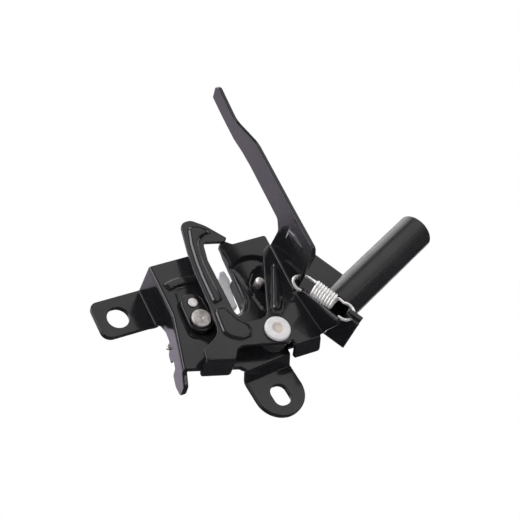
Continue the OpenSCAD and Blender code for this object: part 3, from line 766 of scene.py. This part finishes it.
# ---------------------------------------------------------------- springs
unit = lambda v: v / np.linalg.norm(v)
SA, SB, TURNS, SR = np.array([17.8, -43.2, 7.8]), np.array([23.3, -42.7, -1.2]), 8, 3.2
SD = unit(SB - SA)
wo = np.array([.8660254, 0, .5])
SO = unit(wo - (wo @ SD) * SD)
SQ = np.cross(SD, SO)


def coil(t):
    a = 2 * math.pi * t
    return SA + (SB - SA) * t / TURNS + SR * (math.cos(a) * SO + math.sin(a) * SQ)


hook_a = curve([[16.9, -34.3, 12.2], [15.0, -35.3, 13.0], [14.2, -36.0, 14.1], [13.7, -37.1, 16.0], [14.6, -37.8, 17.3],
                [16.3, -37.9, 17.6], [18.6, -37.9, 17.2], [20.2, -38.8, 15.4],
                coil(0) - SQ * .4 - .5 * SD], 7)
rad = math.radians
lc = wing(19.25, 18.8)
LC = np.array([26.3, -41.9, -5.9])
ring_b = [LC + 4.15 * np.array([math.cos(rad(a)), 0, math.sin(rad(a))]) for a in range(70, -166, -7)]
loop_b = np.concatenate([curve([coil(TURNS), (coil(TURNS) + ring_b[0]) / 2 + np.array([.2, 0, .2]), ring_b[0], ring_b[1]], 6)[1:-6], ring_b])
path = np.concatenate([hook_a, [coil(i / 44) for i in range(TURNS * 44 + 1)], loop_b])


def even(p, step):
    """Points spaced evenly along a path, lightly smoothed."""
    p = np.asarray(p)
    l = np.concatenate([[0], np.cumsum(np.linalg.norm(np.diff(p, axis=0), axis=1))])
    t = np.linspace(0, l[-1], int(l[-1] / step) + 1)
    q = np.stack([np.interp(t, l, p[:, i]) for i in range(3)], 1)
    for _ in range(3):
        q[1:-1] = q[1:-1] * .5 + (q[:-2] + q[2:]) * .25
    return q


hook_spring = tube("hook_spring_wire", even(path, .42), .65, 16)
TY = -8.5 + 1.1
tpath = np.concatenate([
    curve([[-11.4, TY - 3.4, 2.7], [-11.4, TY - 2, 2.7], [-11.9, TY - .4, 3.4], [-13.4, TY, 5.2], [-17, TY, 6.9], [-24, TY, 9.4]], 6),
    [[-27 + 6.1 * math.cos(rad(-110 - 680 * i / 120)), TY + 3.4 * i / 120, 17 + 6.1 * math.sin(rad(-110 - 680 * i / 120))]
     for i in range(121)],
    curve([[-28, TY + 3.4, 10.1], [-31.5, TY + 3.3, 10.4], [-34.5, TY + 2.6, 12.2], [-36.4, TY + .8, 14.8], [-37.6, TY - 1.2, 16.4],
           [-38.9, TY - 1.8, 16.4], [-39.7, TY - 2.2, 14.6]], 6)])
claw_spring = tube("claw_spring_wire", even(tpath, .5), .8, 16)


# ---------------------------------------------------------------- materials
def material(name):
    m = bpy.data.materials.new(name)
    m.use_nodes = True
    nt = m.node_tree
    return m, nt, nt.nodes["Principled BSDF"]


def node(nt, kind, **kw):
    n = nt.nodes.new(kind)
    for k, v in kw.items():
        if k in n.inputs.keys():
            n.inputs[k].default_value = v
        else:
            setattr(n, k, v)
    return n


def noise(nt, coord, scale, detail=3.0, rough=.5, stretch=None):
    n = node(nt, "ShaderNodeTexNoise", Scale=scale, Detail=detail, Roughness=rough)
    if stretch:
        mp = node(nt, "ShaderNodeMapping", Scale=stretch)
        nt.links.new(coord, mp.inputs["Vector"])
        coord = mp.outputs["Vector"]
    nt.links.new(coord, n.inputs["Vector"])
    return n.outputs["Fac"]


def ramp(nt, fac, stops):
    r = node(nt, "ShaderNodeValToRGB")
    el = r.color_ramp.elements
    while len(el) < len(stops):
        el.new(.5)
    for e, (p, c) in zip(el, stops):
        e.position, e.color = p, tuple(c) + (1,)
    nt.links.new(fac, r.inputs["Fac"])
    return r.outputs["Color"]


def spread(nt, fac, lo, hi, a=.3, b=.7):
    r = node(nt, "ShaderNodeMapRange")
    r.inputs["From Min"].default_value, r.inputs["From Max"].default_value = a, b
    r.inputs["To Min"].default_value, r.inputs["To Max"].default_value = lo, hi
    nt.links.new(fac, r.inputs["Value"])
    return r.outputs["Result"]


def bump(nt, bs, height, dist, strength=1.0, before=None):
    b = node(nt, "ShaderNodeBump", Strength=strength, Distance=dist)
    nt.links.new(height, b.inputs["Height"])
    if before is not None:
        nt.links.new(before, b.inputs["Normal"])
    nt.links.new(b.outputs["Normal"], bs.inputs["Normal"])
    return b.outputs["Normal"]


def coat(name, dark, light, r0, r1, peel=.00001, ior=1.5):
    """Dip-coated black sheet: orange peel, soft gloss patches, a few pale specks."""
    m, nt, bs = material(name)
    co = node(nt, "ShaderNodeTexCoord").outputs["Object"]
    big = noise(nt, co, 55, 4)
    specks = noise(nt, co, 420, 1.5)
    col = ramp(nt, big, [(.3, dark), (.7, light)])
    dust = ramp(nt, specks, [(.79, (0, 0, 0)), (.83, (1, 1, 1))])
    mix = node(nt, "ShaderNodeMix", data_type="RGBA")
    nt.links.new(dust, mix.inputs["Factor"])
    nt.links.new(col, mix.inputs["A"])
    mix.inputs["B"].default_value = (.05, .05, .052, 1)
    nt.links.new(mix.outputs["Result"], bs.inputs["Base Color"])
    nt.links.new(spread(nt, noise(nt, co, 120, 5, .6), r0, r1), bs.inputs["Roughness"])
    bump(nt, bs, noise(nt, co, 900, 2), peel)
    bs.inputs["IOR"].default_value = ior
    return m


black = coat("black_dip_coat", (.006, .006, .0068), (.011, .0105, .0115), .10, .19)
satin = coat("satin_tube_coat", (.008, .008, .009), (.014, .0135, .0145), .24, .34, .000006)
oxide = coat("dark_oxide", (.02, .02, .021), (.04, .039, .04), .3, .42)


def metal(name, dark, light, r0, r1, centre=None, metallic=1.0, scratch=(1, 1, 1), rings=0.0, pit=.00001):
    """Bare or plated metal: cloudy tone, fine scratches, turning rings where it is turned."""
    m, nt, bs = material(name)
    co = node(nt, "ShaderNodeTexCoord").outputs["Object"]
    bs.inputs["Metallic"].default_value = metallic
    nt.links.new(ramp(nt, noise(nt, co, 260, 6, .65, scratch), [(.3, dark), (.68, light)]), bs.inputs["Base Color"])
    nt.links.new(spread(nt, noise(nt, co, 500, 4, .6, scratch), r0, r1), bs.inputs["Roughness"])
    nb = bump(nt, bs, noise(nt, co, 1500, 3, .6, scratch), pit)
    if centre is not None:
        sub = node(nt, "ShaderNodeVectorMath", operation="SUBTRACT")
        c = (np.array([centre[0], 0, centre[1]]) + PIV) / 1000
        sub.inputs[1].default_value = (c[0], 0, c[2])
        nt.links.new(co, sub.inputs[0])
        flat = node(nt, "ShaderNodeVectorMath", operation="MULTIPLY")
        flat.inputs[1].default_value = (1, 0, 1)
        nt.links.new(sub.outputs[0], flat.inputs[0])
        ln = node(nt, "ShaderNodeVectorMath", operation="LENGTH")
        nt.links.new(flat.outputs[0], ln.inputs[0])
        ml = node(nt, "ShaderNodeMath", operation="MULTIPLY")
        ml.inputs[1].default_value = 2 * math.pi / .00055
        nt.links.new(ln.outputs["Value"], ml.inputs[0])
        sn = node(nt, "ShaderNodeMath", operation="SINE")
        nt.links.new(ml.outputs[0], sn.inputs[0])
        bump(nt, bs, sn.outputs[0], rings, before=nb)
    return m


turned_steel = metal("turned_steel", (.20, .18, .165), (.66, .63, .60), .25, .45, (-27, 17), metallic=.6, rings=.00004)
small_steel = metal("small_rivet_steel", (.50, .47, .45), (.80, .77, .75), .28, .42, metallic=.6)
plated = metal("zinc_claw", (.70, .69, .71), (.84, .83, .85), .30, .46, metallic=.18)
wire = metal("spring_wire_bright", (.66, .65, .62), (.90, .89, .87), .16, .28, metallic=.55, scratch=(1, 1, .25))

# pale zinc of the hook rivet, tan in its recess, with painted shade: the ring at the foot of the recess wall is painted
# darker
white, nt, bs = material("white_zinc")
co = node(nt, "ShaderNodeTexCoord").outputs["Object"]
sub = node(nt, "ShaderNodeVectorMath", operation="SUBTRACT")
sub.inputs[1].default_value = (PIV[0] / 1000, 0, PIV[2] / 1000)
nt.links.new(co, sub.inputs[0])
flt = node(nt, "ShaderNodeVectorMath", operation="MULTIPLY")
flt.inputs[1].default_value = (1, 0, 1)
nt.links.new(sub.outputs[0], flt.inputs[0])
ln = node(nt, "ShaderNodeVectorMath", operation="LENGTH")
nt.links.new(flt.outputs[0], ln.inputs[0])
rr = spread(nt, ln.outputs["Value"], 0, 1, 0, .006)
# painted shade: the tan is darkest at r ≈ 2 mm, the foot of the recess wall, and lighter again above it
body = ramp(nt, rr, [(.0, (.55, .50, .45)), (.34, (.45, .40, .36)), (.42, (.54, .52, .50)), (.5, (.61, .60, .60)), (1, (.56, .55, .555))])
cloud = ramp(nt, noise(nt, co, 420, 6, .65), [(.3, (.86, .86, .86)), (.7, (1, 1, 1))])
mul = node(nt, "ShaderNodeMix", data_type="RGBA", blend_type="MULTIPLY")
mul.inputs["Factor"].default_value = 1
nt.links.new(body, mul.inputs["A"])
nt.links.new(cloud, mul.inputs["B"])
nt.links.new(mul.outputs["Result"], bs.inputs["Base Color"])
nt.links.new(spread(nt, noise(nt, co, 700, 4), .38, .55), bs.inputs["Roughness"])
bump(nt, bs, noise(nt, co, 1300, 4), .000012)
bs.inputs["Metallic"].default_value = .15


def finish_piece(ob, mat, body, nodes=()):
    ob.data.materials.clear()
    ob.data.materials.append(mat)
    if body:
        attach(ob, body)
    if nodes:
        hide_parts(*nodes)


finish_piece(base, black, "base", ["base_plate"])
finish_piece(flange, black, "base", ["base_plate"])
finish_piece(wall, black, "base", ["base_plate"])
finish_piece(hook, black, "hook", ["safety_hook"])
finish_piece(pivot_plate, black, "base", ["pivot_plate"])
finish_piece(claw, plated, "claw", ["claw"])
finish_piece(pawl, oxide, "pawl", ["pawl"])
finish_piece(tooth, oxide, "pawl", ["pawl"])
finish_piece(hook_rivet, white, "base", ["hook_rivet"])
finish_piece(claw_rivet, turned_steel, "base", ["claw_rivet"])
finish_piece(loc_rivet, small_steel, "base", ["locating_rivet"])
finish_piece(pawl_rivet, small_steel, "base", ["pawl_rivet"])
finish_piece(claw_bush, oxide, "base", ["claw_bush"])
finish_piece(hook_bush, oxide, "base", ["hook_bush"])
finish_piece(cable_tube, satin, "base", ["cable_tube"])
finish_piece(weld_a, satin, "base")
finish_piece(weld_b, satin, "base")
finish_piece(hook_spring, wire, None, ["hook_spring"])
finish_piece(claw_spring, wire, None, ["claw_spring"])
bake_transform(hook_spring)
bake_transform(claw_spring)

# ---------------------------------------------------------------- stage, light, camera
centre = Vector((.055, -.03, -.02))
fm = bpy.data.meshes.new("floor")
fm.from_pydata([(-6, -6, -.36), (6, -6, -.36), (6, 6, -.36), (-6, 6, -.36)], [], [(0, 1, 2, 3)])
floor = bpy.data.objects.new("floor", fm)
bpy.context.scene.collection.objects.link(floor)
pale, nt, bs = material("pale_floor")
bs.inputs["Base Color"].default_value = (.78, .78, .78, 1)
bs.inputs["Roughness"].default_value = .9
bs.inputs["Specular IOR Level"].default_value = .1
fm.materials.append(pale)

world = bpy.data.worlds.new("studio")
bpy.context.scene.world = world
world.use_nodes = True
nt = world.node_tree
bg = nt.nodes["Background"]
bg.inputs["Color"].default_value = (1, 1, 1, 1)
bg.inputs["Strength"].default_value = 1.0
dim = node(nt, "ShaderNodeBackground", Strength=1.0)
tc = node(nt, "ShaderNodeTexCoord")
sx = node(nt, "ShaderNodeSeparateXYZ")
nt.links.new(tc.outputs["Generated"], sx.inputs["Vector"])
sky = ramp(nt, spread(nt, sx.outputs["Z"], 0, 1, -1, 1), [(.0, (.12, .11, .125)), (.26, (.11, .10, .115)), (.40, (.03, .03, .032)), (.5, (.03, .03, .032)), (.68, (.16, .155, .165)), (1, (.2, .2, .2))])
nt.links.new(sky, dim.inputs["Color"])
lp = node(nt, "ShaderNodeLightPath")
mx = node(nt, "ShaderNodeMixShader")
nt.links.new(lp.outputs["Is Camera Ray"], mx.inputs["Fac"])
nt.links.new(dim.outputs[0], mx.inputs[1])
nt.links.new(bg.outputs[0], mx.inputs[2])
nt.links.new(mx.outputs[0], nt.nodes["World Output"].inputs["Surface"])


def softbox(name, direction, dist, size, power, color=(1, 1, 1)):
    li = bpy.data.lights.new(name, "AREA")
    li.shape = "RECTANGLE"
    li.size, li.size_y = size
    li.energy, li.color = power, color
    ob = bpy.data.objects.new(name, li)
    bpy.context.scene.collection.objects.link(ob)
    d = Vector(direction).normalized()
    ob.location = centre + d * dist
    ob.rotation_euler = d.to_track_quat("Z", "Y").to_euler()
    ob.visible_camera = False
    return ob


softbox("key", (.45, -.80, .42), 1.0, (.9, .9), 2.3, (1, .975, .965))
softbox("side", (-.36, .61, .71), 2.5, (2.6, 1.95), 13.5, (.92, .80, 1.0))
softbox("left", (-.66, -.50, .56), 1.0, (.35, .55), 3.4, (.97, .95, 1.0))
softbox("lip", (-.60, -.14, .78), 1.0, (.34, .34), 1.9, (.95, .92, 1.0))
softbox("low", (.45, -.82, -.22), 1.0, (.6, .10), .9)
wide = [softbox("left_wide", (-1.0, .05, .20), 1.3, (1.2, 1.2), 7.5, (.98, .96, 1.0)),
        softbox("right_wide", (1.0, .0, .25), 1.3, (1.2, 1.2), 6.0),
        softbox("back_wide", (.45, 1.0, .35), 1.3, (1.2, 1.2), 7.5)]
for ob in wide:                       # seen in the gloss only, so the floor stays even
    ob.visible_diffuse = False
softbox("top_wide", (.0, .15, 1.0), 1.3, (1.2, 1.2), 11.0)
fill = softbox("fill", (-.35, -.80, .45), 1.5, (1.0, 1.0), 15)
fill.visible_glossy = False
floor.visible_glossy = False

cam_data = bpy.data.cameras.new("camera")
cam_data.lens, cam_data.sensor_width = 124.6, 36
cam_data.clip_start, cam_data.clip_end = .01, 20
cam = bpy.data.objects.new("camera", cam_data)
bpy.context.scene.collection.objects.link(cam)
right, up = Vector((.8618, -.2714, -.4286)).normalized(), Vector((.2409, -.5245, .8166))
up = (up - right * up.dot(right)).normalized()
back = right.cross(up)
cam.matrix_world = Matrix.Translation((-.28612, -.65452, -.30422)) @ Matrix((right, up, back)).transposed().to_4x4()
bpy.context.scene.camera = cam
bpy.context.scene.view_settings.view_transform = "Standard"
